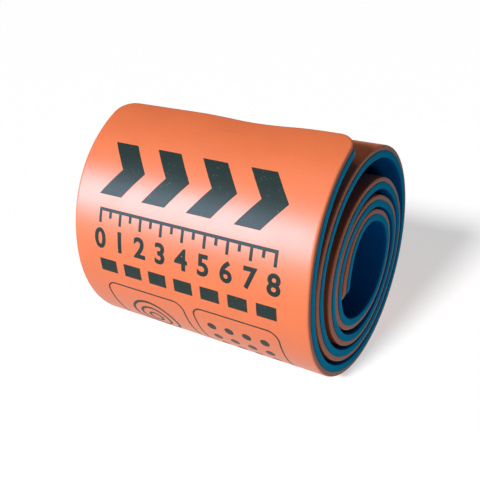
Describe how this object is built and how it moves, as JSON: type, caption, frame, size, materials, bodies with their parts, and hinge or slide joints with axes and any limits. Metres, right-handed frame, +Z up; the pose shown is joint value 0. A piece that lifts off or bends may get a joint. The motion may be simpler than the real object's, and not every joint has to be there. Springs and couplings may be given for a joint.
{
  "type": "rolled foam splint",
  "caption": "Foam splint in its stored roll: a soft aluminium strip between an orange and a teal foam layer, wound into a loose spiral that lies on its side.",
  "frame": {"origin": "on the surface that the roll rests on, under the middle of the roll", "axes": "+X along the roll's axis, -Y the front that the flap comes down over, +Z up"},
  "size_m": [0.108, 0.0974, 0.1014],
  "materials": {
    "outer_foam": "satin closed-cell foam",
    "core_sheet": "mill finish",
    "inner_foam": "matt closed-cell foam"
  },
  "bodies": {
    "root": {"outer_foam": "outer_foam", "core_sheet": "core_sheet", "inner_foam": "inner_foam"}
  },
  "joints": []
}
